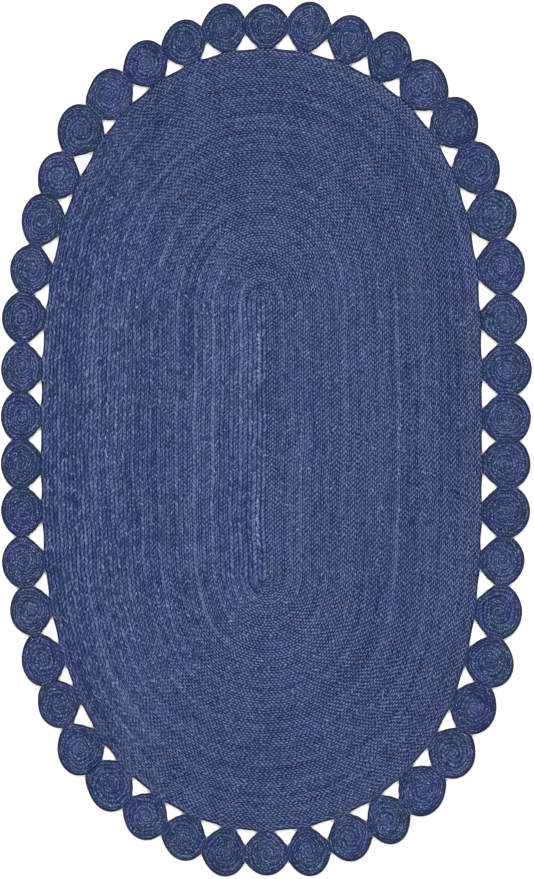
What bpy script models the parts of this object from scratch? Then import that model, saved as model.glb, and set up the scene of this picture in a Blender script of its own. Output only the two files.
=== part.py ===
"""An oval braided rug with a scalloped border.

One flat braid is wound in an oval spiral and sewn edge to edge: the body. Round it stand 46
small coiled discs, each sewn to the body's edge at its foot and to both its neighbours, so
that a three-cornered gap is left between every two discs.

The rug lies flat on z = 0, with its length along Y, and the origin is at the middle of its
outer size. Sizes are in metres; the table of discs is in millimetres and degrees.
"""

import math

import bpy
import numpy as np
from mathutils import Vector
from mathutils.geometry import convex_hull_2d

MM = 0.001

# The body. Each quarter of its edge is a superellipse: (x / half width) to the power of
# ROUND_X, plus (y / half length) to the power of that quarter's fullness, is 1. A fuller
# quarter keeps straight for longer along its side.
HALF_LENGTH = 0.681
HALF_WIDTH_LEFT = 0.388
HALF_WIDTH_RIGHT = 0.379
ROUND_X = 2.0
FULLNESS_LEFT = 2.84
FULLNESS_RIGHT_ABOVE = 3.66
FULLNESS_RIGHT_BELOW = 3.39
BODY_THICK = 0.008
BODY_EDGE_ROUND = 0.0035
BODY_STEPS = 56         # facets to a quarter of the edge
EDGE_FINE_STEPS = 1500  # points to a quarter of the line on which distances are measured
TANGENT_REACH = 0.005   # the edge's direction is taken over this distance to either side
SHARP_CORNER = 0.5      # least cosine of a corner's half turn, where an outline is drawn in

# The discs.
COIL_THICK = 0.007
COIL_EDGE_ROUND = 0.0025
COIL_STEPS = 22           # facets round a disc, before its flats
FOOT_SHARE = 0.82         # the flat on the body's edge, for each metre of the disc's half size
NECK_WIDTH = 0.029        # the flat on a neighbour that a disc only just meets
NECK_GAIN = 2.0           # how much wider the neck is for each metre that two discs overlap
NECK_MIN = 0.022          # the narrowest neck
NECK_OUT = 0.0012         # how far the necks lie outwards of the discs' centres
SEAM = 0.0003             # the gap that a sewn seam keeps between two pieces
BELOW_RIGHT_SIZE = 0.98   # the discs at the lower right are a little smaller ...
BELOW_RIGHT_PITCH = 0.98  # ... and the last of them are sewn a little closer together
BELOW_RIGHT_FROM = 13     # the first disc of the smaller ones
BELOW_CLOSE_FROM = 19     # the first disc of the closer ones

# The discs of the upper half, clockwise from the left end of the X axis; the lower half has
# the same ones mirrored. In mm and degrees:
#   pitch       along the body's edge from the disc before, or from the axis
#   rise        of the disc's centre off the edge
#   rise_below  the same for its mirror image in the lower half
#   along       half the disc's size along the edge
#   across      half its size across the edge
#   lean        of the disc's "along" direction, outwards from the edge's own direction
COIL_COLUMNS = ("pitch", "rise", "rise_below", "along", "across", "lean")
COIL_ROWS = (
    (41, 35, 35, 43, 35, 0),
    (82, 35, 35, 43, 36, -5),
    (87, 38, 38, 44, 37, 0),
    (81, 36, 36, 42, 36, 10),
    (85, 37, 37, 46, 35, 10),
    (76, 36, 36, 42, 35, 20),
    (82, 42, 42, 46, 38, 25),
    (73, 38, 39, 48, 37, 30),
    (75, 39, 40, 42, 36, 40),
    (69, 39, 40, 41, 35, 45),
    (66, 44, 44, 36, 42, -25),
    (65, 39, 38, 37, 39, -15),
    (66, 46, 44, 36, 43, 0),
    (68, 43, 40, 37, 43, 20),
    (66, 47, 44, 36, 45, 20),
    (69, 45, 43, 47, 39, -25),
    (75, 44, 43, 46, 40, -30),
    (79, 41, 39, 47, 40, -15),
    (80, 43, 42, 46, 41, -35),
    (86, 44, 42, 48, 40, -5),
    (88, 42, 39, 43, 39, 10),
    (86, 45, 43, 46, 42, 5),
    (85, 44, 44, 45, 41, -10),
)

BODY_COLOUR = (0.050, 0.092, 0.235)
COIL_COLOUR = (0.040, 0.075, 0.200)
ROUGHNESS = 0.85


def clear_scene():
    for obj in list(bpy.data.objects):
        bpy.data.objects.remove(obj, do_unlink=True)


def yarn_material(name, colour):
    mat = bpy.data.materials.new(name)
    mat.use_nodes = True
    shader = mat.node_tree.nodes["Principled BSDF"]
    shader.inputs["Base Color"].default_value = (*colour, 1.0)
    shader.inputs["Roughness"].default_value = ROUGHNESS
    shader.inputs["Metallic"].default_value = 0.0
    return mat


def quarter(half_width, fullness, steps):
    """A quarter of the edge, from the side round to the end, as (distance out, distance up)."""
    turn = np.linspace(0.0, math.pi / 2, steps + 1)
    out = half_width * np.cos(turn) ** (2.0 / ROUND_X)
    up = HALF_LENGTH * np.sin(turn) ** (2.0 / fullness)
    return np.stack([out, up], axis=1)


def half_edge(above, steps):
    """The edge from the left end of the X axis over the end of the rug to the right."""
    fullness_right = FULLNESS_RIGHT_ABOVE if above else FULLNESS_RIGHT_BELOW
    left = quarter(HALF_WIDTH_LEFT, FULLNESS_LEFT, steps) * (-1, 1)
    right = quarter(HALF_WIDTH_RIGHT, fullness_right, steps)[::-1]
    return np.concatenate([left, right[1:]])


class Edge:
    """The body's edge of one half, measured by the distance along it."""

    def __init__(self, above):
        self.points = half_edge(above, EDGE_FINE_STEPS)
        steps = np.hypot(*np.diff(self.points, axis=0).T)
        self.along = np.concatenate([[0.0], np.cumsum(steps)])

    def at(self, distance):
        x = np.interp(distance, self.along, self.points[:, 0])
        y = np.interp(distance, self.along, self.points[:, 1])
        return Vector((x, y))

    def frame(self, distance):
        """The point there, the edge's direction, and the direction outwards from it."""
        before = self.at(distance - TANGENT_REACH)
        after = self.at(distance + TANGENT_REACH)
        tangent = (after - before).normalized()
        return self.at(distance), tangent, Vector((-tangent.y, tangent.x))


class Coil:
    """One disc: an ellipse with its centre, two half sizes and the direction of the first."""

    def __init__(self, edge, station, rise, row, size):
        foot, tangent, outward = edge.frame(station)
        lean = math.radians(row["lean"])
        self.foot = foot
        self.outward = outward
        self.along = row["along"] * MM * size
        self.across = row["across"] * MM * size
        self.centre = foot + outward * rise
        self.axis = tangent * math.cos(lean) + outward * math.sin(lean)
        self.flats = [self.foot_flat()]

    @property
    def side(self):
        """The direction across the disc, square to its axis."""
        return Vector((-self.axis.y, self.axis.x))

    def radius(self, direction):
        """How far the ellipse reaches from its centre in a direction."""
        d = direction.normalized()
        return 1.0 / math.hypot(d.dot(self.axis) / self.along, d.dot(self.side) / self.across)

    def foot_flat(self):
        """The flat against the body: its middle, its outward normal and its width."""
        return self.foot + self.outward * SEAM, -self.outward, FOOT_SHARE * self.along

    def ellipse(self):
        turns = [2 * math.pi * k / COIL_STEPS for k in range(COIL_STEPS)]
        return [
            self.centre
            + self.axis * (self.along * math.cos(turn))
            + self.side * (self.across * math.sin(turn))
            for turn in turns
        ]

    def outline(self):
        """The ellipse cut by its three flats and drawn out to the ends of each."""
        points = self.ellipse()
        for middle, normal, _ in self.flats:
            points = [p for p in points if (p - middle).dot(normal) < 0.0]
        for middle, normal, width in self.flats:
            across = Vector((-normal.y, normal.x)) * (width / 2)
            points += [middle - across, middle + across]
        hull = [points[k] for k in convex_hull_2d(points)]
        return counterclockwise(hull)


def neck(one, other):
    """Gives two neighbouring discs their facing flats, a seam's gap apart."""
    between = other.centre - one.centre
    direction = between.normalized()
    reach_one = one.radius(direction)
    reach_other = other.radius(-direction)
    overlap = reach_one + reach_other - between.length
    width = max(NECK_MIN, NECK_WIDTH + NECK_GAIN * overlap)
    share = reach_one / (reach_one + reach_other)
    outward = (one.outward + other.outward).normalized()
    middle = one.centre + between * share + outward * NECK_OUT
    one.flats.append((middle - direction * (SEAM / 2), direction, width))
    other.flats.append((middle + direction * (SEAM / 2), -direction, width))


def mirrored(coil):
    """Turns a disc worked out in the upper half into one of the lower half."""
    for name in ("foot", "centre", "outward", "axis"):
        there = getattr(coil, name)
        setattr(coil, name, Vector((there.x, -there.y)))
    coil.flats = [coil.foot_flat()]
    return coil


def half_border(above):
    """The discs of one half, from left to right."""
    edge = Edge(above)
    coils = []
    station = 0.0
    for number, values in enumerate(COIL_ROWS, start=1):
        row = dict(zip(COIL_COLUMNS, values))
        smaller = not above and number >= BELOW_RIGHT_FROM
        closer = not above and number >= BELOW_CLOSE_FROM
        station += row["pitch"] * MM * (BELOW_RIGHT_PITCH if closer else 1.0)
        rise = row["rise" if above else "rise_below"] * MM
        coil = Coil(edge, station, rise, row, BELOW_RIGHT_SIZE if smaller else 1.0)
        coils.append(coil if above else mirrored(coil))
    return coils


def border():
    """Both halves' discs, with their necks, as pairs of a name and an outline."""
    above, below = half_border(True), half_border(False)
    ring = above + below[::-1]
    for one, other in zip(ring, ring[1:] + ring[:1]):
        neck(one, other)
    names = [f"coil_above_{k + 1:02d}" for k in range(len(above))]
    names += [f"coil_below_{k + 1:02d}" for k in reversed(range(len(below)))]
    return [(name, coil.outline()) for name, coil in zip(names, ring)]


def counterclockwise(points):
    area = sum(a.cross(b) for a, b in zip(points, points[1:] + points[:1]))
    return points if area > 0 else points[::-1]


def body_outline():
    above = half_edge(True, BODY_STEPS)
    below = half_edge(False, BODY_STEPS)[1:-1][::-1] * (1, -1)
    return counterclockwise([Vector(p) for p in np.concatenate([above, below])])


def inset(points, distance):
    """An outline moved inwards: each point along the middle of its corner."""
    moved = []
    for before, here, after in zip(points[-1:] + points[:-1], points, points[1:] + points[:1]):
        one = (here - before).normalized()
        other = (after - here).normalized()
        normal = Vector((-one.y - other.y, one.x + other.x)).normalized()
        slant = max(SHARP_CORNER, normal.dot(Vector((-one.y, one.x))))
        moved.append(here + normal * (distance / slant))
    return moved


def flat_piece(name, outline, thick, edge_round, shift, mat):
    """A flat closed solid with that outline and a chamfered, braid-like rim."""
    drawn_in = inset(outline, edge_round)
    levels = (
        (drawn_in, 0.0),
        (outline, edge_round),
        (outline, thick - edge_round),
        (drawn_in, thick),
    )
    count = len(outline)
    verts = [(p.x - shift.x, p.y - shift.y, z) for ring, z in levels for p in ring]
    faces = [tuple(reversed(range(count)))]
    for level in range(len(levels) - 1):
        low, high = level * count, (level + 1) * count
        for k in range(count):
            after = (k + 1) % count
            faces.append((low + k, low + after, high + after, high + k))
    top = (len(levels) - 1) * count
    faces.append(tuple(range(top, top + count)))
    mesh = bpy.data.meshes.new(name)
    mesh.from_pydata(verts, [], faces)
    mesh.update()
    mesh.materials.append(mat)
    obj = bpy.data.objects.new(name, mesh)
    bpy.context.scene.collection.objects.link(obj)
    return obj


def middle_of(outlines):
    """The middle of the smallest upright box round all the outlines."""
    points = np.array([p for outline in outlines for p in outline])
    return Vector((points.min(axis=0) + points.max(axis=0)) / 2)


def main():
    clear_scene()
    body = body_outline()
    coils = border()
    shift = middle_of([body] + [outline for _, outline in coils])
    body_yarn = yarn_material("body_yarn", BODY_COLOUR)
    coil_yarn = yarn_material("coil_yarn", COIL_COLOUR)
    flat_piece("braided_body", body, BODY_THICK, BODY_EDGE_ROUND, shift, body_yarn)
    for name, outline in coils:
        flat_piece(name, outline, COIL_THICK, COIL_EDGE_ROUND, shift, coil_yarn)


main()
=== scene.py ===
"""The looks of an oval rug that is sewn from one long flat braid, with a border of coiled discs.

The body is a straight first run of braid with loops of the same braid wound round it in a spiral,
out to the body's edge. Each disc is a spiral of a finer braid, out to the disc's own outline. All
braids are made by one function, braid_mesh: two columns of strands that lean against each other,
on a closed flat tube. The outlines come from the frame's solids, which these pieces replace.

Sizes are in metres and angles in radians, unless it says otherwise. A row is the width of one
braid, counted outwards from the core of a winding. A stitch is one strand of each column.
"""

import math
from collections import namedtuple

import bpy
import numpy as np
from mathutils.geometry import convex_hull_2d
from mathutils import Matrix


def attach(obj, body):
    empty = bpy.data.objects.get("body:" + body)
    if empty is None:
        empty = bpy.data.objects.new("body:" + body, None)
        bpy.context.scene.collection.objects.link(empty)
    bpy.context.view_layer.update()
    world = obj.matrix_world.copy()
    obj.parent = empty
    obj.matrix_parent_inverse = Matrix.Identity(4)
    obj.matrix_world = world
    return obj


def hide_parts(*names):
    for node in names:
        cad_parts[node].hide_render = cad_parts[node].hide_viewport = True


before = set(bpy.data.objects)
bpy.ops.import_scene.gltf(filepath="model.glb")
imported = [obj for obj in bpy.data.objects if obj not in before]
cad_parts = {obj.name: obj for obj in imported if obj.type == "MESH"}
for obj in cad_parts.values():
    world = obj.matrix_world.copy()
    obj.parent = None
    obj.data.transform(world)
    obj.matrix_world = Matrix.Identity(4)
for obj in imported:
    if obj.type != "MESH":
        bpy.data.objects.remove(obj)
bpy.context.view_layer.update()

bl_info = {
    "name": "Oval Braided Rug",
    "version": (1, 0, 0),
    "blender": (4, 5, 0),
    "location": "3D View > Sidebar > Rug",
    "description": "Builds an oval rug of sewn braid with a border of coiled discs",
    "category": "Add Mesh",
}

MM = 0.001
TINY = 1e-9  # keeps a length from being nothing where it is divided by
BODY_NODE = "braided_body"
COIL_NODES = sorted(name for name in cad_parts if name.startswith("coil_"))

# A strand's height over one stitch, from the notch where it comes out from under the next
# strand: it rises steeply and falls off slowly, like a shingle.
STRAND_STEPS = np.array([0.0, 0.92, 1.0, 0.62])

# The make of a braid. Its heights are shares of the relief, from the braid's middle line out to its
# seam: one profile for a smooth column, drawn tight, and one for a dotted column, where the strands
# stand up beside a valley. The depths are how far a strand's notch goes down, in the same shares.
Make = namedtuple("Make", "smooth smooth_depth dotted dotted_depth slack under crest lean plump uneven rim")
BODY_MAKE = Make(
    smooth=(0.46, 0.82, 1.0, 0.82, 0.50),
    smooth_depth=0.32,
    dotted=(0.44, 1.0, 0.30, 1.0, 0.26),
    dotted_depth=0.80,
    slack=1.0,  # how far its columns may turn from smooth to dotted
    under=(0.34, 0.0, 0.08, 0.0, 0.34),  # heights across the underside, as shares of the thickness
    crest=0.36,  # the relief's share of the thickness
    lean=1.0,  # how many stitches a strand runs along the braid
    plump=0.16,  # how much strands differ in height
    uneven=0.30,  # how much half stitches differ in length
    rim=0.08,  # how far from an open edge its painted shade is darkest, in rows
)
COIL_MAKE = BODY_MAKE._replace(
    smooth=(0.52, 1.0, 1.0, 0.36),
    smooth_depth=0.62,
    dotted=(0.52, 1.0, 1.0, 0.36),
    slack=0.0,
    under=(0.45, 0.0, 0.45),
    crest=0.24,
    lean=0.75,
    plump=0.26,
    uneven=0.40,
    rim=0.24,
)
OPEN_ROUND, RIM_FADE = 0.2, 0.25  # rows over which an open edge is rounded, and its painted shade fades out
UNDER_RELIEF = 0.1  # what the underside's relief counts as for the painted shade and highlight in its colour
MEAN_WIDTH = 0.0153  # the mean width of the body's braid

# How loose a column is, from 0 for smooth to 1 for dotted, is a sum of these.
RISING, RISING_OUT = 0.45, 0.4  # where it runs towards +Y: next to the core, and more at the edge ...
RISING_SLACK = 0.6  # ... and more where the braid is slackest
TURNING = 0.6  # where it turns round the rug's ends
FALLING = 0.28  # where it runs towards -Y, a third of the way out
INNER, INNER_FALLING = 0.15, 0.35  # what the inner column has more: everywhere, and in that place
WANDER = 45  # stitches over which a braid's slackness changes

# How a braid is wound.
TURN_POINTS = 720  # points at which a turn is worked out
TURN_STITCHES = 6  # the fewest stitches in a turn
LEAST_WIDTH = 0.35  # the rows that a taper counts as at least
CROSS_REACH = 0.05  # the rows over which the direction across a braid is measured
HALF_RUN = 0.5  # rows from the core's line to the side of the first run
LOOP_START = -0.75 * math.pi  # the direction from the rug's middle in which the loops start
LOOP_STEP = 0.42  # the share of a turn over which a loop steps out by a row
START_STEP = 2.4  # from the angle at which a disc's braid starts to that of the next disc
WIDTH_SHIFT = 7.0  # how fast the braid's width changes with that angle
TURN_UNEVEN = 0.16  # how far a disc's turns lie from an even spacing, in rows ...
TURN_WAVE, TURN_SHIFT = 2.1, 5.0  # ... and how fast that changes from row to row, and with the angle
OVAL_WAVES = 2  # how many waves of its outline a disc's inner turns follow

# A braid's chances come from its seed, and its number sets it apart on the strands' map.
BODY_SEED, RUN_SEED, COIL_SEED = 11, 7, 100
RUN_NUMBER = 8000
COIL_NUMBERS = 60  # from one disc's number to the next

# A winding sways by sine waves of its place, much * sin(y * Y + x * X + start) each, in shares of
# the sway. The waves of a disc are shorter.
Wave = namedtuple("Wave", "much x y start")
SWAY_X = (Wave(1.0, 5, 17, 0.4), Wave(0.7, -13, 31, 2.1), Wave(0.5, 23, 53, 0.0))
SWAY_Y = (Wave(1.0, 19, -7, 1.3), Wave(0.7, 37, 11, 0.2))
SWAY_FADE = 4  # the sway fades out over the last of so many equal shares of the way to the edge
BODY_QUICK, COIL_QUICK = 1.0, 7.0  # how many times as short as these the waves are

# The seam that gapes round the core's ends.
GAPING_ROW, GAPING_REACH = 1.5, 0.19  # its row, and how many rows it reaches to either side ...
GAPING_FROM = 0.226  # ... how far from the rug's middle it starts ...
GAPING_FADE = 0.012  # ... over which length it opens ...
GAPING_DEEP, GAPING_CROWN = 0.85, 0.7  # ... its depth, and how much less that is on a strand's crown

WORN_FROM, WORN_TO = 0.105, 0.190  # the worn lengths of the first run, from the rug's middle ...
WORN_ACROSS = -0.3  # ... how far across they reach from its left side, at -1, ...
WORN_MUCH = 1.35  # ... and how worn they are, where 1 is much
WORN_FADE = 0.05  # the length over which a worn length of a loop fades out

# The stage.
PAPER, PAPER_ROUGHNESS = (0.95, 0.95, 0.95, 1.0), 0.9  # the floor's
LAMP_SPREAD, LAMP_TILT = 25, (-50, 0, 4)  # the lamp's width and its turns about X, Y, Z, in degrees
CAMERA_ASIDE, CAMERA_REACH = (0.0009, -0.0009), 100.0  # the camera's X and Y, and how far it sees

# The loops whose outer column is worn and pale: the side of the rug, -1 for that towards -X, the
# loop's number, how far from the rug's middle line it reaches, and how worn it is.
Worn = namedtuple("Worn", "side loop reach much")
WORN = (
    Worn(side=1, loop=14, reach=0.26, much=0.6),
    Worn(side=1, loop=12, reach=0.26, much=0.4),
    Worn(side=1, loop=11, reach=0.20, much=0.3),
    Worn(side=1, loop=8, reach=0.20, much=0.3),
    Worn(side=-1, loop=16, reach=0.11, much=0.6),
    Worn(side=-1, loop=15, reach=0.09, much=0.5),
)

# The dye's lots: a distance out from the core, as a share of the way to the edge and below 0 on the
# side towards -X, and how much lighter the yarn is there.
Lot = namedtuple("Lot", "out lighter")
LOTS = (
    Lot(out=-0.88, lighter=-0.03),
    Lot(out=-0.77, lighter=0.03),
    Lot(out=-0.54, lighter=-0.03),
    Lot(out=-0.40, lighter=0.0),
    Lot(out=-0.22, lighter=0.02),
    Lot(out=-0.03, lighter=0.015),
    Lot(out=0.05, lighter=-0.01),
    Lot(out=0.32, lighter=0.01),
    Lot(out=0.60, lighter=-0.02),
    Lot(out=0.95, lighter=0.01),
)
LOT_SLOPE, LOT_CUT = 1.6, 0.3  # how the lots fade out with the direction, towards the round ends
LOT_MIDDLE = 1e-4  # nearer to the core than this a direction counts as that far from it

# The outlines, and how they are sewn together.
BODY_POINTS, BODY_CORNER = 2048, 0.012  # points on the body's, and the length that rounds it
COIL_POINTS, COIL_CORNER = 360, 0.20  # points on a disc's, and the angle that rounds it
DENSER = 4  # how many times as dense a line is while it is rounded or measured to
CHUNK = 60  # points that are measured together
FAR = 100.0 + 100.0j  # a place far from the rug
SEWN_REACH = 0.010  # outlines nearer to one another than this are drawn together ...
SEWN_SHUT = 0.0040  # ... so that a gap of about this width is shut
SEWN_FROM, SEWN_TO = 0.0035, 0.0022  # the gaps from which a point counts as sewn, and as fully so
OPEN_BACK = 0.0010  # how far the sewing draws back the open edges between the discs and the body ...
CORNER_BACK = 0.8  # ... and how much further where a gap ends, as a share of that ...
OPEN_REACH, OPEN_FADE = 0.026, 0.006  # ... on a disc up to that far from the body, fading out before


# ---------------------------------------------------------------- sizes and colours


class BodySizes(bpy.types.PropertyGroup):
    """The body's braid and how it is wound."""

    loops: bpy.props.IntProperty(
        name="Loops", description="Loops of braid round the first run", default=25
    )
    run: bpy.props.FloatProperty(
        name="First run", description="Length of the straight first run", default=0.480, unit="LENGTH"
    )
    run_x: bpy.props.FloatProperty(
        name="First run's place", description="Its X, as the loops are a little wider on one side",
        default=-0.0085, unit="LENGTH",
    )
    tight: bpy.props.FloatProperty(
        name="Tightening", description="How much narrower the outer loops are than the middle ones",
        default=0.10,
    )
    stitch: bpy.props.FloatProperty(
        name="Stitch area", description="Face that one strand covers, in square millimetres",
        default=63.0,
    )
    thick: bpy.props.FloatProperty(
        name="Thickness", description="Thickness of the braid", default=0.008, unit="LENGTH"
    )
    sway: bpy.props.FloatProperty(
        name="Sway", description="How far the loops wander from an even spacing",
        default=0.0011, unit="LENGTH",
    )
    pieces: bpy.props.IntProperty(
        name="Lengths", description="Lengths that the braid is made in", default=4
    )


class CoilSizes(bpy.types.PropertyGroup):
    """The border's finer braid."""

    width: bpy.props.FloatProperty(
        name="Braid width", description="Width of the finer braid", default=0.0114, unit="LENGTH"
    )
    stitch: bpy.props.FloatProperty(
        name="Stitch area", description="Face that one strand covers, in square millimetres",
        default=33.0,
    )
    thick: bpy.props.FloatProperty(
        name="Thickness", description="Thickness of the braid", default=0.0061, unit="LENGTH"
    )
    heart: bpy.props.FloatProperty(
        name="Heart", description="Radius of the hole that the first turn leaves",
        default=0.0002, unit="LENGTH",
    )
    sway: bpy.props.FloatProperty(
        name="Sway", description="How far the turns wander from an even spacing",
        default=0.0009, unit="LENGTH",
    )
    vary: bpy.props.FloatProperty(
        name="Variety", description="How much the discs' braids differ in width, as a share of it",
        default=0.08,
    )


class YarnColours(bpy.types.PropertyGroup):
    """The dyed jute's colours, which also paint its shade and highlights."""

    # the dark end also gives the painted shade in the notches between the strands
    dark: bpy.props.FloatVectorProperty(
        name="Dark", description="Yarn in the notches",
        default=(0.0037, 0.0096, 0.044), subtype="COLOR",
    )
    middle: bpy.props.FloatVectorProperty(
        name="Middle", description="Most of the yarn",
        default=(0.0235, 0.0365, 0.112), subtype="COLOR",
    )
    # the pale end also gives the painted highlight on the strands' crowns
    pale: bpy.props.FloatVectorProperty(
        name="Pale", description="Worn and pale fibres",
        default=(0.100, 0.132, 0.252), subtype="COLOR",
    )
    fleck: bpy.props.FloatVectorProperty(
        name="Fleck", description="Bare jute that took little dye",
        default=(0.20, 0.245, 0.385), subtype="COLOR",
    )
    # the colour of the painted shade on the open edges and in the gaping seam
    rim: bpy.props.FloatVectorProperty(
        name="Rim", description="Open edges and the gaping seam",
        default=(0.0115, 0.0135, 0.033), subtype="COLOR",
    )


class StageSizes(bpy.types.PropertyGroup):
    """The floor, the lights and the camera."""

    floor: bpy.props.FloatProperty(
        name="Floor", description="Half the floor's size", default=6.0, unit="LENGTH"
    )
    sky: bpy.props.FloatProperty(name="Sky", description="Strength of the even light", default=1.35)
    lamp: bpy.props.FloatProperty(name="Lamp", description="Strength of the slanting light", default=1.8)
    height: bpy.props.FloatProperty(
        name="Camera height", description="Height of the camera over the floor",
        default=8.0, unit="LENGTH",
    )
    picture: bpy.props.FloatProperty(
        name="Picture height", description="Length of floor from the picture's top to its foot",
        default=1.5292, unit="LENGTH",
    )


# The groups, by the names that they have on the scene.
GROUPS = {"rug_body": BodySizes, "rug_coils": CoilSizes, "rug_yarn": YarnColours, "rug_stage": StageSizes}


# ---------------------------------------------------------------- shader maths


class Value:
    """A socket with arithmetic: an expression on values adds the Math nodes that work it out."""

    def __init__(self, shader, socket):
        self.shader = shader
        self.socket = socket

    def _maths(self, operation, *others, **settings):
        values = {k: v for k, v in enumerate(others)}
        return self.shader.add("ShaderNodeMath", {"operation": operation, **settings}, values)

    def __add__(self, other):
        return self._maths("ADD", self, other)

    __radd__ = __add__

    def __sub__(self, other):
        return self._maths("SUBTRACT", self, other)

    def __rsub__(self, other):
        return self._maths("SUBTRACT", other, self)

    def __mul__(self, other):
        return self._maths("MULTIPLY", self, other)

    __rmul__ = __mul__

    def floor(self):
        return self._maths("FLOOR", self)

    def beyond(self, limit, reach):
        """0 below the limit, 1 above limit + reach, and a straight slope between."""
        return ((self - limit) * (1.0 / reach)).clamped()

    def wave(self):
        """1 at each whole number, -1 half way between, and a smooth wave between."""
        return self._maths("COSINE", self * (2.0 * math.pi))

    def clamped(self):
        return self._maths("ADD", self, 0.0, use_clamp=True)

    def output(self, number):
        """Another output of the same node."""
        return Value(self.shader, self.socket.node.outputs[number])


class Shader:
    """A material whose nodes are added by one method."""

    def __init__(self, name):
        self.material = bpy.data.materials.new(name)
        self.material.use_nodes = True
        self.tree = self.material.node_tree
        self.surface = self.tree.nodes["Principled BSDF"]

    def add(self, kind, settings=None, inputs=None, out=0):
        """A node of that kind, with its settings set first and then its sockets set or linked."""
        node = self.tree.nodes.new(kind)
        for name, value in (settings or {}).items():
            if name == "stops":
                self.set_stops(node.color_ramp.elements, value)
            else:
                setattr(node, name, value)
        for name, value in (inputs or {}).items():
            self.feed(node.inputs[name], value)
        return Value(self, node.outputs[out])

    def set_stops(self, elements, stops):
        """Sets a colour ramp's stops, of which it has two to begin with."""
        for k, (place, colour) in enumerate(stops):
            element = elements[k] if k < len(elements) else elements.new(place)
            element.position = place
            element.color = (*colour, 1.0)

    def feed(self, socket, value):
        if isinstance(value, Value):
            self.tree.links.new(value.socket, socket)
        else:
            socket.default_value = value

    def finish(self, **inputs):
        """Feeds the Principled node's sockets, named with _ for a space."""
        for name, value in inputs.items():
            self.feed(self.surface.inputs[name.replace("_", " ")], value)
        return self.material


# ---------------------------------------------------------------- the yarn


# The look of a piece's yarn: the lightness of its middle, what it loses on the way out to the edge,
# the weights of each tuft's own chance, of the streaks along the braid, of the fine fibres and of
# the relief's painted shade and highlight, and how strongly its patches of another blue show.
Look = namedtuple("Look", "base fall own streak fibre relief tint")
BODY_LOOK = Look(base=0.417, fall=0.05, own=0.22, streak=0.95, fibre=2.0, relief=1.52, tint=0.45)
COIL_LOOK = Look(base=0.415, fall=0.18, own=0.28, streak=0.8, fibre=1.8, relief=1.08, tint=1.0)

# What all the yarn has alike: the weights of the other parts of its lightness ...
TWIST = 0.10  # light and dark bands on the strands
LOOSE_PALER = 0.06  # a loose column
SHADE = 0.25  # broad shades
SMUDGE = 0.14  # a smudge, which is darker
WORN_PALER = 0.14  # a worn length
KNOT = 0.5  # a knot, which is darker
# ... how the streaks, and the relief's painted shade and highlight, change from a smooth column to a dotted
# one ...
STREAK_SMOOTH, STREAK_GAIN, STREAK_LOSS = 0.70, 0.35, 0.5
RELIEF_LOSS = 0.14
# ... how many patches each pattern has to a stitch and to a column, or to a metre in X and in Y ...
STREAKS, STREAK_SHIFT = 0.012, 7.3
FIBRES, FIBRES_ACROSS = 3.6, 3.2
KNOTS, SPECKS = 2.5, 4.0
HUE_PATCHES, SMUDGE_PATCHES, SHADE_PATCHES = (28.0, 9.0), (34.0, 26.0), (20.0, 3.0)
TWIST_SHIFT = 5.0  # how much the bands shift from tuft to tuft
# ... from where on a pattern shows, and over which reach it comes in ...
HUE_FROM, HUE_OVER = 0.40, 0.2
SMUDGE_FROM, SMUDGE_OVER = 0.64, 0.08
KNOT_CHANCE, KNOT_OVER = 0.0022, 0.0005
FLECK_FROM, FLECK_OVER = 0.992, 0.001
FLECK_WORN, FLECK_LOOSE = 0.12, 0.003  # how many more flecks a worn length has, and fewer a loose one
# ... and the surface.
HUE, RIM_SHADE = (0.90, 1.06, 0.86, 1.0), 0.9  # what the other blue multiplies, and the strength of the painted shade on the open edges
ROUGHNESS, ROUGHNESS_FIBRE = 0.82, 0.15  # the latter is what a fibre takes off
BUMP_FIBRE, BUMP_OWN = 0.6, 0.2


def attribute(shader, name):
    """A number that the mesh holds for each of its points."""
    return shader.add("ShaderNodeAttribute", {"attribute_name": name}, out=2)


def noise(shader, vector, detail, rough=0.5):
    """A soft noise from 0 to 1 of a vector, with a patch to each unit."""
    inputs = {"Vector": vector, "Scale": 1.0, "Detail": detail, "Roughness": rough}
    return shader.add("ShaderNodeTexNoise", {"noise_dimensions": "3D"}, inputs)


def strand_noise(shader, along, sideways, detail, rough=0.5):
    """A soft noise of a place on the strands' map."""
    place = shader.add("ShaderNodeCombineXYZ", {}, {0: along, 1: sideways, 2: 0.0})
    return noise(shader, place, detail, rough)


def rug_noise(shader, patches):
    """A soft noise of the place on the rug, with so many patches to a metre in X and in Y."""
    spot = shader.add("ShaderNodeTexCoord", out=3)
    place = shader.add("ShaderNodeMapping", {}, {"Vector": spot, "Scale": (*patches, 0.0)})
    return noise(shader, place, 2.0)


def cell_chance(shader, along, sideways):
    """A chance from 0 to 1 for each cell between whole numbers on the strands' map."""
    cell = shader.add("ShaderNodeCombineXYZ", {}, {0: along.floor(), 1: sideways.floor(), 2: 0.5})
    return shader.add("ShaderNodeTexWhiteNoise", {"noise_dimensions": "3D"}, {"Vector": cell})


def mixed(shader, share, colour, other, **settings):
    """A colour that turns to another one by a share."""
    inputs = {0: share, 6: colour, 7: other}
    return shader.add("ShaderNodeMix", {"data_type": "RGBA", **settings}, inputs, out=2)


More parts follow.
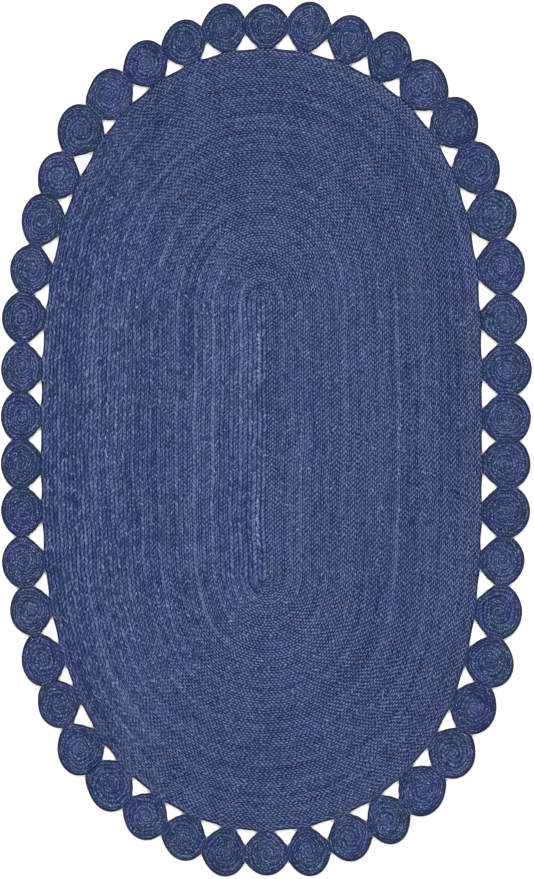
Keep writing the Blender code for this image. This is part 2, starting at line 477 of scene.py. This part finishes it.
def yarn_material(name, look):
    """Mottled dyed jute that follows the strands.

    The strands' own map gives the stitch number and the place across the braid, from 0 to 2. Each
    tuft, half a strand, gets a random lightness, streaks run along the braid, and fine fibres run
    along each strand. The relief paints shade into the notches between the strands and a highlight
    onto their crowns. To these come broad shades, the lots of dye, smudges, worn lengths and dark
    knots. The sum picks the colour from dark to pale. Over it lie patches of another blue, pale
    flecks, and painted shade on the open edges and in the gaping seam.
    """
    colours = bpy.context.scene.rug_yarn
    shader = Shader(name)
    strands = shader.add("ShaderNodeUVMap", {"uv_map": "strands"})
    stitch = shader.add("ShaderNodeSeparateXYZ", {}, {0: strands})
    across = stitch.output(1)
    column, halves = across.floor(), across * 2.0
    out, relief, rim = attribute(shader, "out"), attribute(shader, "relief"), attribute(shader, "rim")
    loose, wear, dye = attribute(shader, "loose"), attribute(shader, "wear"), attribute(shader, "dye")

    own = cell_chance(shader, stitch + column * 0.5, halves)
    twist = (halves + own * TWIST_SHIFT).wave()
    streak = strand_noise(shader, stitch * STREAKS, column * STREAK_SHIFT, 3.0) - 0.5
    fibre = strand_noise(shader, stitch * FIBRES, across * FIBRES_ACROSS, 1.0, 0.6)
    hue = rug_noise(shader, HUE_PATCHES).beyond(HUE_FROM, HUE_OVER)
    smudge = rug_noise(shader, SMUDGE_PATCHES).beyond(SMUDGE_FROM, SMUDGE_OVER)
    shade = rug_noise(shader, SHADE_PATCHES) - 0.5
    # sound is 0 in a knot, and 1 elsewhere
    sound = cell_chance(shader, stitch * KNOTS, halves).beyond(KNOT_CHANCE, KNOT_OVER)
    luck = cell_chance(shader, stitch * SPECKS, across * SPECKS)
    fleck = (luck + wear * wear * FLECK_WORN - loose * FLECK_LOOSE).beyond(FLECK_FROM, FLECK_OVER)

    streaky = STREAK_SMOOTH + loose * STREAK_GAIN - loose * loose * loose * loose * STREAK_LOSS
    lightness = (
        look.base
        - out * look.fall
        + (own - 0.5) * look.own
        + streak * streaky * look.streak
        + (fibre - 0.5) * look.fibre
        + twist * TWIST
        # painted shade in the notches and painted highlight on the crowns, from the relief
        + relief * (1.0 - loose * RELIEF_LOSS) * look.relief
        + loose * LOOSE_PALER
        + shade * SHADE
        + dye
        - smudge * SMUDGE
        + wear * WORN_PALER
        + sound * KNOT
        - KNOT
    )
    stops = [(0.0, colours.dark), (0.5, colours.middle), (1.0, colours.pale)]
    dyed_and_shaded = shader.add("ShaderNodeValToRGB", {"stops": stops}, {"Fac": lightness})
    tinted = mixed(shader, hue * look.tint, dyed_and_shaded, HUE, blend_type="MULTIPLY")
    flecked = mixed(shader, fleck, tinted, (*colours.fleck, 1.0))
    # painted shade on the open edges and in the gaping seam
    rim_shaded = mixed(shader, rim * RIM_SHADE, flecked, (*colours.rim, 1.0))
    height = fibre * BUMP_FIBRE + own * BUMP_OWN
    bumps = {"Strength": 0.35, "Distance": 0.0008, "Height": height}
    return shader.finish(
        Base_Color=rim_shaded,
        Roughness=ROUGHNESS - fibre * ROUGHNESS_FIBRE,
        Normal=shader.add("ShaderNodeBump", {}, bumps),
        Specular_IOR_Level=0.1,
    )


# ---------------------------------------------------------------- outlines


def outline_of(node):
    """The outline of a solid seen from above, as complex numbers, anticlockwise: its convex hull."""
    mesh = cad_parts[node].data
    points = np.empty(len(mesh.vertices) * 3, np.float32)
    mesh.vertices.foreach_get("co", points)
    flat = np.unique(np.round(points.reshape(-1, 3)[:, :2].astype(float), 6), axis=0)
    hull = flat[convex_hull_2d([tuple(p) for p in flat])]
    loop = hull[:, 0] + 1j * hull[:, 1]
    return loop if area_of(loop) > 0 else loop[::-1]


def area_of(loop):
    """The area inside a closed polygon: half the sum of its points' cross products.

    It is below 0 if the polygon runs clockwise.
    """
    return np.sum(np.imag(np.conj(loop) * np.roll(loop, -1))) / 2


def soft_loop(loop, count, reach):
    """A closed polygon at equal distances, each corner rounded over that reach.

    Each point becomes the mean of the points near it, weighted by a bell curve; on a closed line
    that is each Fourier term times the bell curve of its own frequency.
    """
    closed = np.append(loop, loop[0])
    distance = np.concatenate([[0.0], np.cumsum(np.abs(np.diff(closed)))])
    places = np.arange(count) / count * distance[-1]
    even = np.interp(places, distance, closed.real) + 1j * np.interp(places, distance, closed.imag)
    terms = np.fft.fftfreq(count, 1.0 / count) * (2 * math.pi * reach / distance[-1])
    return np.fft.ifft(np.fft.fft(even) * np.exp(-0.5 * terms**2))


def rounded(loop, count, reach):
    """A closed line round its own middle, whose distance from it is smoothed over that angle."""
    even = soft_loop(loop, DENSER * count, 0.0)
    middle = even.mean()
    spokes = even - middle
    order = np.argsort(np.angle(spokes))
    turns = np.arange(count) * (2 * math.pi / count) - math.pi
    distance = np.interp(turns, np.angle(spokes)[order], np.abs(spokes)[order], period=2 * math.pi)
    terms = np.fft.fftfreq(count, 1.0 / count) * reach
    distance = np.fft.ifft(np.fft.fft(distance) * np.exp(-0.5 * terms**2)).real
    return middle + distance * np.exp(1j * turns)


def loop_at(loop, turn):
    """The value of a closed line at a share of the way round it."""
    shares = np.arange(len(loop) + 1) / len(loop)
    closed = np.append(loop, loop[0])
    share = np.mod(turn, 1.0)
    if np.iscomplexobj(loop):
        return np.interp(share, shares, closed.real) + 1j * np.interp(share, shares, closed.imag)
    return np.interp(share, shares, closed)


def nearest(points, cloud, reach):
    """For each point of a loop the nearest point of a cloud, or a far one if none is within reach."""
    found = np.full(len(points), FAR)
    for chunk in np.array_split(np.arange(len(points)), len(points) // CHUNK):
        here = points[chunk]
        middle = here.mean()
        near = cloud[np.abs(cloud - middle) < np.abs(here - middle).max() + reach]
        if len(near):
            found[chunk] = near[np.argmin(np.abs(here[:, None] - near), axis=1)]
    return found


def sewn_outlines():
    """Each solid's outline with rounded corners, drawn to its neighbours as sewing would draw it.

    A gap between two pieces becomes the root of its own square less that of SEWN_SHUT, the latter
    fading out with the square of the gap up to SEWN_REACH. So seams close, and the open gaps
    between the pieces end in round corners. The open edges of the gaps round the body are drawn
    back a little. With each outline comes a number for each of its points: 1 where it is sewn to
    another piece, 0 where its edge is open.
    """
    loops = {BODY_NODE: soft_loop(outline_of(BODY_NODE), BODY_POINTS, BODY_CORNER)}
    for node in COIL_NODES:
        loops[node] = rounded(outline_of(node), COIL_POINTS, COIL_CORNER)
    dense = {}
    for node, loop in loops.items():
        count = DENSER * len(loop)
        dense[node] = loop_at(loop, np.arange(count) / count)
    sewn = {}
    for node, loop in loops.items():
        others = np.concatenate([line for other, line in dense.items() if other != node])
        across = nearest(loop, others, SEWN_REACH) - loop
        gap = np.maximum(np.abs(across), TINY)
        fade = np.clip(1.0 - (gap / SEWN_REACH) ** 2, 0.0, 1.0)
        left = np.sqrt(np.maximum(gap**2 - fade * SEWN_SHUT**2, 0.0))
        moved = loop + across * 0.5 * (1.0 - left / gap)
        shut = np.clip((SEWN_FROM - gap) / (SEWN_FROM - SEWN_TO), 0.0, 1.0)
        facing = 1.0 - shut
        if node != BODY_NODE:
            to_body = np.abs(nearest(loop, dense[BODY_NODE], OPEN_REACH) - loop)
            facing = facing * np.clip((OPEN_REACH - to_body) / OPEN_FADE, 0.0, 1.0)
        inward = 1j * (np.roll(loop, -1) - np.roll(loop, 1))
        back = OPEN_BACK * facing * (1.0 + CORNER_BACK * np.clip(2.0 * fade, 0.0, 1.0))
        sewn[node] = moved + back * inward / np.abs(inward), shut
    return sewn


# ---------------------------------------------------------------- windings


def uneven_stitches(count, uneven, seed):
    """The unevenness of a hand-made braid.

    It is where the half stitches lie, a number from -1 to 1 for each strand, and how slack the
    braid is after each WANDER stitches, from 0 to 1.
    """
    rng = np.random.default_rng(seed)
    steps = rng.uniform(1.0 - uneven, 1.0 + uneven, 2 * count)
    places = np.concatenate([[0.0], np.cumsum(steps)])
    chance = rng.uniform(-1.0, 1.0, (count + 3, 2))
    slackness = rng.uniform(0.0, 1.0, count // WANDER + 2)
    return places * (count / places[-1]), chance, slackness


def swayed(points, share, sway, quick):
    """Points moved in X and in Y by sums of sine waves of their place, fading out near the edge."""
    x, y = points.real * quick, points.imag * quick
    aside, along = (
        sum(wave.much * np.sin(wave.y * y + wave.x * x + wave.start) for wave in waves)
        for waves in (SWAY_X, SWAY_Y)
    )
    fade = np.clip(SWAY_FADE * (1 - share), 0.0, 1.0)
    return points + sway * fade * (aside + 1j * along)


class Course:
    """The line that a braid takes, with nothing special on it.

    Each kind has pace, chance and slackness as uneven_stitches gives them. Its method at gives the
    point at a stitch number and from -1 to 1 across the braid, and with it the share of the way out
    from the core, and the rows left to an open edge.
    """

    def gape(self, place, out):
        """How far a seam gapes there, from 0 to 1."""
        return np.zeros(place.shape)

    def wear(self, place, stitch, across):
        """How worn and pale a strand is there: 0 is not at all, and 1 is much."""
        return np.zeros(place.shape)

    def dye(self, place, out):
        """How much lighter its lot of dye is."""
        return np.zeros(place.shape)


class Winding(Course):
    """A braid wound in a spiral between a core and an outline.

    rows is the number of rows from the core to the outline, first the one at which the spiral
    starts. A turn's inner side lies drift rows further out than the first, where drift grows by one
    row each turn, over the first `step` share of it. Both sides are held between first and rows, so
    the braid starts and ends in a slender taper and fills the outline exactly. The stitches made up
    to a place are the area swept by the braid so far over the area of one stitch.
    """

    def __init__(self, turns, first, rows, step, stitch, uneven, seed):
        self.first = first
        self.rows = rows
        self.step = step
        fine = np.linspace(0.0, turns, int(turns * TURN_POINTS) + 1)
        inner, outer = self.sides(fine)
        middle = (inner + outer) / 2
        width = np.maximum(outer - inner, LEAST_WIDTH)
        before = self.place(middle - CROSS_REACH, fine)
        beyond = self.place(middle + CROSS_REACH, fine)
        cross = (beyond - before) / (2 * CROSS_REACH)
        run = np.gradient(self.place(middle, fine))
        swept = np.abs(np.imag(np.conj(cross) * run)) * width
        least = TURN_STITCHES * (fine[1] - fine[0])
        self.fine = fine
        self.stitches = np.cumsum(np.maximum(swept / (2 * stitch), least))
        count = int(self.stitches[-1]) + 4
        self.pace, self.chance, self.slackness = uneven_stitches(count, uneven, seed)

    def sides(self, turn):
        """The rows at which a turn's inner and outer side lie."""
        whole = np.floor(turn)
        share = np.clip((turn - whole) / self.step, 0.0, 1.0)
        eased = share * share * (3 - 2 * share) if self.step < 1.0 else share
        drift = self.first + whole + eased
        return np.clip(drift - 1.0, self.first, self.rows), np.clip(drift, self.first, self.rows)

    def turn_at(self, stitch):
        """The turns made up to a stitch."""
        halves = np.arange(len(self.pace))
        return np.interp(np.interp(2 * stitch, halves, self.pace), self.stitches, self.fine)

    def at(self, stitch, across):
        """The point is the winding's place at the row so far across from its inner side."""
        turn = self.turn_at(stitch)
        inner, outer = self.sides(turn)
        row = inner + (outer - inner) * (across + 1) / 2
        return self.place(row, turn), row / self.rows, self.rows - row + loop_at(self.sewn, turn)


class OvalWinding(Winding):
    """Loops between a straight core and the body's outline.

    A point is the foot on the core plus a share of the way from the foot to the outline. The foot
    of a point of the outline is the core's nearest point.
    """

    def __init__(self, outline, sewn, sizes):
        start = int(np.argmin(np.abs(np.angle(outline) - LOOP_START)))
        outline = np.roll(outline, -start)
        self.outline = outline
        self.sewn = np.roll(sewn, -start)
        self.tight = sizes.tight
        self.sway = sizes.sway
        self.half_width = np.abs(outline.real).max()
        core_y = np.clip(outline.imag, -sizes.run / 2, sizes.run / 2)
        self.feet = sizes.run_x + 1j * core_y
        super().__init__(
            turns=sizes.loops + 1.0, first=HALF_RUN, rows=sizes.loops + HALF_RUN, step=LOOP_STEP,
            stitch=sizes.stitch * MM * MM, uneven=BODY_MAKE.uneven, seed=BODY_SEED,
        )

    def share(self, row):
        """The share of the way out: rows near the core are a little wider than the outer ones.

        It is row / rows, and tight times that share times the rest of the way more.
        """
        even = row / self.rows
        return even + self.tight * even * (1 - even)

    def place(self, row, turn):
        """The point at a row and a turn."""
        share = self.share(row)
        foot, edge = loop_at(self.feet, turn), loop_at(self.outline, turn)
        return swayed(foot + (edge - foot) * share, share, self.sway, BODY_QUICK)

    def gape(self, place, out):
        """The first loop's outer seam gapes round both its sharp turns."""
        beside = np.clip(1.0 - np.abs(out * self.rows - GAPING_ROW) / GAPING_REACH, 0.0, 1.0)
        return beside * np.clip((np.abs(place.imag) - GAPING_FROM) / GAPING_FADE, 0.0, 1.0)

    def wear(self, place, stitch, across):
        """The worn lengths of the loops' outer columns."""
        loop = np.floor(self.turn_at(stitch))
        worn = np.zeros(place.shape)
        for row in WORN:
            here = (loop == row.loop) & (across > 0.0) & (place.real * row.side > 0.0)
            fade = np.clip((row.reach - np.abs(place.imag)) / WORN_FADE, 0.0, 1.0)
            worn = np.maximum(worn, here * fade * row.much)
        return worn

    def dye(self, place, out):
        """The lots lie side by side across the rug and fade towards its two round ends."""
        away = place.real - self.feet.real[0]
        reach = np.maximum(out * self.half_width, LOT_MIDDLE)
        sideways = np.clip(LOT_SLOPE * np.abs(away) / reach - LOT_CUT, 0.0, 1.0)
        lots = np.array(LOTS)
        return sideways * np.interp(np.sign(away) * out, lots[:, 0], lots[:, 1])


class CoilWinding(Winding):
    """Turns round a disc's middle.

    The distance from the middle is a share of the outline's own distance in that direction. Near
    the middle the outline's corners are left out, so that the turns there are smooth ovals. The
    turns are a little uneven, by a sine wave of the row, and each disc's braid has its own width.
    """

    def __init__(self, outline, sewn, sizes, angle):
        middle = outline.mean()
        spokes = outline - middle
        turned = np.mod(np.angle(spokes) - angle, 2 * math.pi) / (2 * math.pi)
        order = np.argsort(turned)
        even = np.arange(len(outline)) / len(outline)
        reach = np.interp(even, turned[order], np.abs(spokes)[order], period=1.0)
        terms = np.fft.fft(reach)
        terms[OVAL_WAVES + 1 : -OVAL_WAVES] = 0.0
        self.middle = middle
        self.angle = angle
        self.outer = reach
        self.sewn = np.interp(even, turned[order], sewn[order], period=1.0)
        self.oval = np.fft.ifft(terms).real
        self.sway = sizes.sway
        width = sizes.width * (1.0 + sizes.vary * math.sin(WIDTH_SHIFT * angle))
        rows = reach.mean() / width
        super().__init__(
            turns=rows + 1.0, first=sizes.heart / width, rows=rows, step=1.0,
            stitch=sizes.stitch * MM * MM, uneven=COIL_MAKE.uneven, seed=COIL_SEED + int(angle * 10),
        )

    def place(self, row, turn):
        """The point at a row and a turn."""
        between = 4.0 * row * (self.rows - row) / self.rows**2
        shift = TURN_UNEVEN * between * np.sin(TURN_WAVE * row + TURN_SHIFT * self.angle)
        share = (row + shift) / self.rows
        corners = share**3
        reach = share * ((1 - corners) * loop_at(self.oval, turn) + corners * loop_at(self.outer, turn))
        points = self.middle + reach * np.exp(1j * (2 * math.pi * turn + self.angle))
        return swayed(points, share, self.sway, COIL_QUICK)


class StraightRun(Course):
    """The first run: a straight braid that fills the space inside the first loop.

    Its two sides are the first loop's inner side, read as a left and a right X for each Y.
    """

    def __init__(self, winding, sizes):
        turns = np.arange(TURN_POINTS) / TURN_POINTS
        ring = winding.place(np.full(len(turns), winding.first), turns)
        foot, head = int(np.argmin(ring.imag)), int(np.argmax(ring.imag))
        up = np.roll(ring, -foot)[: (head - foot) % len(ring) + 1]
        down = np.roll(ring, -head)[: (foot - head) % len(ring) + 1][::-1]
        self.left, self.right = (up, down) if up.real.mean() < down.real.mean() else (down, up)
        self.top, self.bottom = ring[head].imag, ring[foot].imag
        left, right = self.sides((self.top + self.bottom) / 2)
        self.width = right - left
        self.pitch = 2 * sizes.stitch * MM * MM / self.width
        self.count = int((self.top - self.bottom) / self.pitch) + 1
        unevenness = uneven_stitches(self.count + 4, BODY_MAKE.uneven, RUN_SEED)
        self.pace, self.chance, self.slackness = unevenness

    def sides(self, y):
        """The X of the left and of the right side."""
        left = np.interp(y, self.left.imag, self.left.real)
        return left, np.interp(y, self.right.imag, self.right.real)

    def at(self, stitch, across):
        """The point lies one pitch further down from the top for each stitch."""
        halves = np.arange(len(self.pace))
        even = np.interp(2 * stitch, halves, self.pace)
        y = np.clip(self.top - even * self.pitch, self.bottom, self.top)
        left, right = self.sides(y)
        x = left + (right - left) * (across + 1) / 2
        far = np.ones(np.broadcast_shapes(np.shape(y), np.shape(across)))
        return x + 1j * y, 0.0 * far, far

    def wear(self, place, stitch, across):
        """The left column has a worn length in either half."""
        away = np.abs(place.imag)
        here = (away > WORN_FROM) & (away < WORN_TO) & (across < WORN_ACROSS)
        return np.where(here, WORN_MUCH, 0.0)


# ---------------------------------------------------------------- braids


def looseness(course, stitch, across, slack):
    """How loose each column is at each stitch, from 0 for smooth to 1 for dotted.

    rising is 1 where the braid runs towards +Y and 0 where it runs towards -Y, and turning is 1
    where it runs along X and 0 where it runs along Y. falling is 1 where it runs towards -Y a third
    of the way out, and falls off to the core and to the edge. wander is the braid's own slackness.
    The column is as loose as the sum of these, each with its own weight.
    """
    middle, out, _ = course.at(stitch[:, 0], 0.0)
    heading = np.gradient(middle)
    upward = 0.5 + 0.5 * heading.imag / np.maximum(np.abs(heading), TINY)
    spots = np.arange(len(course.slackness)) * WANDER
    wander = np.interp(stitch[:, 0], spots, course.slackness)
    turning = 4.0 * upward * (1.0 - upward)
    rising = upward**0.5
    falling = 6.75 * out * (1.0 - out) ** 2 * (1.0 - rising)
    outer = rising * (RISING + RISING_SLACK * wander + RISING_OUT * out) + TURNING * turning
    outer = outer + FALLING * falling
    inner = outer + INNER + INNER_FALLING * falling
    loose = slack * np.clip(np.where(across < 0, inner[:, None], outer[:, None]), 0.0, 1.0)
    line = len(across) // 2
    loose[:, line] = (loose[:, line - 1] + loose[:, line + 1]) / 2
    return loose


def braid_mesh(name, course, first, last, make, thick, number):
    """A closed flat tube of braid from the first to the last stitch of a course.

    In a smooth column its sections lean by `lean` stitches, so that each follows a strand; in a
    dotted one they go straight across, and the strands' crowns stand in staggered lines. Across a
    column, from the braid's middle line to its seam, the height follows a profile between the
    smooth one and the dotted one, by how loose the column is. Along the column it is the strand's
    shingle, and the second column is half a stitch on. The underside is a plainer one, with one
    section for each stitch. The strands' numbers on their map start at `number`.
    """
    steps = len(STRAND_STEPS)
    columns = len(make.smooth) - 1
    stitch = np.arange(first * steps, last * steps + 1)[:, None] / steps
    across = np.linspace(-1.0, 1.0, 2 * columns + 1)
    inward = np.abs(across)
    loose = looseness(course, stitch, across, make.slack)

    slant = make.lean * (1.0 - loose) * inward
    place, out, edge = course.at(np.maximum(stitch - slant, 0.0), across[None, :])
    spots = np.linspace(0.0, 1.0, columns + 1)
    smooth = np.interp(inward, spots, make.smooth)[None, :]
    dotted = np.interp(inward, spots, make.dotted)[None, :]
    lobe = (smooth + (dotted - smooth) * loose) * np.clip(edge / OPEN_ROUND, 0.0, 1.0)

    side = (across > 0).astype(int)[None, :]
    strand = stitch + make.lean * loose * inward + 0.5 * side
    plump = 1.0 + make.plump * course.chance[np.floor(strand).astype(int), side]
    shingle = np.append(STRAND_STEPS, 0.0)
    height = np.interp(np.mod(strand, 1.0), np.arange(steps + 1) / steps, shingle)
    gape = course.gape(place, out) * (GAPING_DEEP - GAPING_CROWN * height)
    lobe = lobe * (1.0 - gape)
    depth = make.smooth_depth + (make.dotted_depth - make.smooth_depth) * loose
    relief = np.clip(lobe * (1.0 - depth * (1.0 - height)) * plump, 0.0, 1.0)
    usual = lobe.mean(axis=1, keepdims=True) * (1.0 - depth * (1.0 - STRAND_STEPS.mean()))
    # painted shade, darkest at the open edges and fading inwards, and in the gaping seam
    rim = np.maximum(np.clip(1.0 - (edge - make.rim) / RIM_FADE, 0.0, 1.0), gape)
    z_top = thick * (1.0 - make.crest + make.crest * relief)

    under_across = np.linspace(-1.0, 1.0, len(make.under))
    under_stitch = stitch[::steps]
    under_place, under_out, _ = course.at(
        np.maximum(under_stitch - make.lean * np.abs(under_across), 0.0), under_across[None, :]
    )
    z_under = thick * np.array(make.under)

    def whole(tops, unders):
        """The values of the top's points, and then those of the underside's points."""
        top_values = np.broadcast_to(tops, place.shape).ravel()
        return np.concatenate([top_values, np.broadcast_to(unders, under_place.shape).ravel()])

    spot = whole(place, under_place)
    points = np.stack([spot.real, spot.imag, whole(z_top, z_under)], axis=-1)
    mesh = bpy.data.meshes.new(name)
    build(mesh, points, tube_faces(len(stitch), len(across), len(make.under), steps))
    stitches = whole(strand - 0.5 * side + number, under_stitch + number)
    map_strands(mesh, stitches, whole(across + 1.0, under_across + 1.0))
    # how far a point stands above or below the braid's usual height, for the painted shade and highlight of
    # the relief
    set_attribute(mesh, "relief", whole(relief - usual, UNDER_RELIEF))
    set_attribute(mesh, "rim", whole(rim, 0.0))
    set_attribute(mesh, "out", whole(out, under_out))
    set_attribute(mesh, "loose", whole(loose, 0.0))
    set_attribute(mesh, "wear", whole(course.wear(place, stitch, across), 0.0))
    set_attribute(mesh, "dye", whole(course.dye(place, out), 0.0))
    mesh.shade_smooth()
    sharpen_seams(mesh, place.size, len(across))
    return mesh


def tube_faces(sections, columns, lines, steps):
    """The faces of a braid's tube: its quads on top, and on the underside a fan at each seam.

    On top, each section and the next one make a strip of quads. Every other quad starts at another
    corner, so that their diagonals cross to and fro. The underside has a section for every `steps`
    of the top's, and each side wall is a fan between the two.
    """
    top = np.arange(sections * columns).reshape(sections, columns)
    a, b, c, d = top[:-1, :-1], top[:-1, 1:], top[1:, 1:], top[1:, :-1]
    quads = np.stack([a, b, c, d], axis=-1)
    odd = (np.arange(sections - 1)[:, None] + np.arange(columns - 1)[None, :]) % 2 == 1
    quads[odd] = np.roll(quads[odd], 1, axis=-1)
    quads = quads.reshape(-1, 4)

    unders = (sections - 1) // steps + 1
    under = sections * columns + np.arange(unders * lines).reshape(unders, lines)
    e, f, g, h = under[:-1, :-1], under[1:, :-1], under[1:, 1:], under[:-1, 1:]
    quads_under = np.stack([e, f, g, h], axis=-1).reshape(-1, 4)

    start = np.arange(unders - 1) * steps
    half = steps // 2
    triangles = []
    for column, line, flip in ((0, 0, False), (columns - 1, lines - 1, True)):
        near, far = under[:-1, line], under[1:, line]
        fans = [(near, top[start + k, column], top[start + k + 1, column]) for k in range(half)]
        fans += [(near, top[start + half, column], far)]
        fans += [(far, top[start + k, column], top[start + k + 1, column]) for k in range(half, steps)]
        for one, two, three in fans:
            corner = (one, three, two) if flip else (one, two, three)
            triangles.append(np.stack(corner, axis=-1))
    ends = []
    for section, line, flip in ((0, 0, False), (sections - 1, unders - 1, True)):
        ring = np.concatenate([top[section], under[line][::-1]])
        ends.append(ring[::-1] if flip else ring)
    return quads, quads_under, np.concatenate(triangles), ends


def build(mesh, points, faces):
    """Puts points and faces into a mesh, all faces facing out."""
    quads, quads_under, triangles, ends = faces
    corners = np.concatenate([quads.ravel(), quads_under.ravel(), triangles.ravel(), *ends])
    sizes = np.concatenate(
        [
            np.full(len(quads) + len(quads_under), 4),
            np.full(len(triangles), 3),
            [len(ring) for ring in ends],
        ]
    )
    starts = np.concatenate([[0], np.cumsum(sizes)[:-1]])
    mesh.vertices.add(len(points))
    mesh.vertices.foreach_set("co", points.astype(np.float32).ravel())
    mesh.loops.add(len(corners))
    mesh.loops.foreach_set("vertex_index", corners.astype(np.int32))
    mesh.polygons.add(len(sizes))
    mesh.polygons.foreach_set("loop_start", starts.astype(np.int32))
    mesh.update(calc_edges=True)


def map_strands(mesh, stitches, sideways):
    """Gives each face corner its point's place on the strands' map."""
    corners = np.empty(len(mesh.loops), np.int32)
    mesh.loops.foreach_get("vertex_index", corners)
    places = np.stack([stitches, sideways], axis=-1)[corners]
    layer = mesh.uv_layers.new(name="strands")
    layer.data.foreach_set("uv", places.astype(np.float32).ravel())


def set_attribute(mesh, name, values):
    """Gives each point of a mesh a number, for its material."""
    held = mesh.attributes.new(name, "FLOAT", "POINT")
    held.data.foreach_set("value", values.astype(np.float32))


def sharpen_seams(mesh, tops, columns):
    """Marks the two edges of a braid's top as sharp, so its faces aren't shaded round to its sides."""
    ends = np.empty(len(mesh.edges) * 2, np.int32)
    mesh.edges.foreach_get("vertices", ends)
    ends = ends.reshape(-1, 2)
    line = ends % columns
    seam = (ends < tops).all(axis=1) & (line[:, 0] == line[:, 1]) & np.isin(line[:, 0], (0, columns - 1))
    mesh.attributes.new("sharp_edge", "BOOLEAN", "EDGE").data.foreach_set("value", seam)


def add_piece(name, mesh, material, nodes):
    """A finished piece, at the origin, riding on the one body in place of its solids."""
    mesh.materials.append(material)
    piece = bpy.data.objects.new(name, mesh)
    bpy.context.scene.collection.objects.link(piece)
    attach(piece, "root")
    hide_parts(*nodes)
    return piece


# ---------------------------------------------------------------- operators


class BodyBraid(bpy.types.Operator):
    """Winds the body's braid: the straight first run and the loops round it"""

    bl_idname = "rug.body_braid"
    bl_label = "Body Braid"

    def execute(self, context):
        sizes = context.scene.rug_body
        winding = OvalWinding(*sewn_outlines()[BODY_NODE], sizes)
        material = yarn_material("body_jute", BODY_LOOK)

        run = StraightRun(winding, sizes)
        mesh = braid_mesh("first_run", run, 0, run.count, BODY_MAKE, sizes.thick, RUN_NUMBER)
        piece = add_piece("first_run", mesh, material, [BODY_NODE])

        ends = np.linspace(0, int(winding.stitches[-1]) + 1, sizes.pieces + 1).astype(int)
        for k, (first, last) in enumerate(zip(ends[:-1], ends[1:])):
            name = f"body_braid_{k + 1}"
            mesh = braid_mesh(name, winding, first, last, BODY_MAKE, sizes.thick, 0)
            piece = add_piece(name, mesh, material, [BODY_NODE])
            area = (last - first) * 2 * sizes.stitch * MM * MM
            width = MEAN_WIDTH
            area / width
        return {"FINISHED"}


class BorderCoils(bpy.types.Operator):
    """Winds the border's discs, each a spiral of the finer braid"""

    bl_idname = "rug.border_coils"
    bl_label = "Border Coils"

    def execute(self, context):
        sizes = context.scene.rug_coils
        material = yarn_material("coil_jute", COIL_LOOK)
        outlines = sewn_outlines()
        for k, node in enumerate(COIL_NODES):
            outline, sewn = outlines[node]
            winding = CoilWinding(outline, sewn, sizes, START_STEP * k)
            last = int(winding.stitches[-1]) + 1
            name = node + "_braid"
            mesh = braid_mesh(name, winding, 0, last, COIL_MAKE, sizes.thick, COIL_NUMBERS * k)
            piece = add_piece(name, mesh, material, [node])
        return {"FINISHED"}


class RugStage(bpy.types.Operator):
    """Sets out the floor, the soft light and the camera straight above"""

    bl_idname = "rug.stage"
    bl_label = "Stage"

    def execute(self, context):
        sizes = context.scene.rug_stage
        scene = context.scene
        half = sizes.floor
        corners = [(-half, -half, 0), (half, -half, 0), (half, half, 0), (-half, half, 0)]
        mesh = bpy.data.meshes.new("floor")
        mesh.from_pydata(corners, [], [(0, 1, 2, 3)])
        floor = bpy.data.objects.new("floor", mesh)
        scene.collection.objects.link(floor)
        paper = Shader("white_paper")
        mesh.materials.append(paper.finish(Base_Color=PAPER, Roughness=PAPER_ROUGHNESS))

        world = bpy.data.worlds.new("soft_sky")
        world.use_nodes = True
        background = world.node_tree.nodes["Background"]
        background.inputs["Color"].default_value = (1.0, 1.0, 1.0, 1.0)
        background.inputs["Strength"].default_value = sizes.sky
        scene.world = world

        lamp = bpy.data.lights.new("window_light", "SUN")
        lamp.energy = sizes.lamp
        lamp.angle = math.radians(LAMP_SPREAD)
        light = bpy.data.objects.new("window_light", lamp)
        light.rotation_euler = [math.radians(turn) for turn in LAMP_TILT]
        scene.collection.objects.link(light)

        camera = bpy.data.cameras.new("camera")
        camera.sensor_fit = "VERTICAL"
        camera.lens = camera.sensor_height * sizes.height / sizes.picture
        camera.clip_end = CAMERA_REACH
        eye = bpy.data.objects.new("camera", camera)
        eye.location = (*CAMERA_ASIDE, sizes.height)
        scene.collection.objects.link(eye)
        scene.camera = eye
        scene.view_settings.view_transform = "Standard"
        return {"FINISHED"}


OPERATORS = (BodyBraid, BorderCoils, RugStage)


class RugPanel(bpy.types.Panel):
    """Shows the rug's sizes and colours, and its operators, in the sidebar"""

    bl_idname = "VIEW3D_PT_rug"
    bl_label = "Oval Braided Rug"
    bl_space_type = "VIEW_3D"
    bl_region_type = "UI"
    bl_category = "Rug"

    def draw(self, context):
        for name, group in GROUPS.items():
            box = self.layout.box()
            for key in group.__annotations__:
                box.prop(getattr(context.scene, name), key)
        for operator in OPERATORS:
            self.layout.operator(operator.bl_idname)


def register():
    for kind in (*GROUPS.values(), *OPERATORS, RugPanel):
        bpy.utils.register_class(kind)
    for name, group in GROUPS.items():
        setattr(bpy.types.Scene, name, bpy.props.PointerProperty(type=group))


def unregister():
    for name in GROUPS:
        delattr(bpy.types.Scene, name)
    for kind in reversed((*GROUPS.values(), *OPERATORS, RugPanel)):
        bpy.utils.unregister_class(kind)


def main():
    register()
    for operator in OPERATORS:
        group, name = operator.bl_idname.split(".")
        getattr(getattr(bpy.ops, group), name)()


if __name__ == "__main__":
    main()
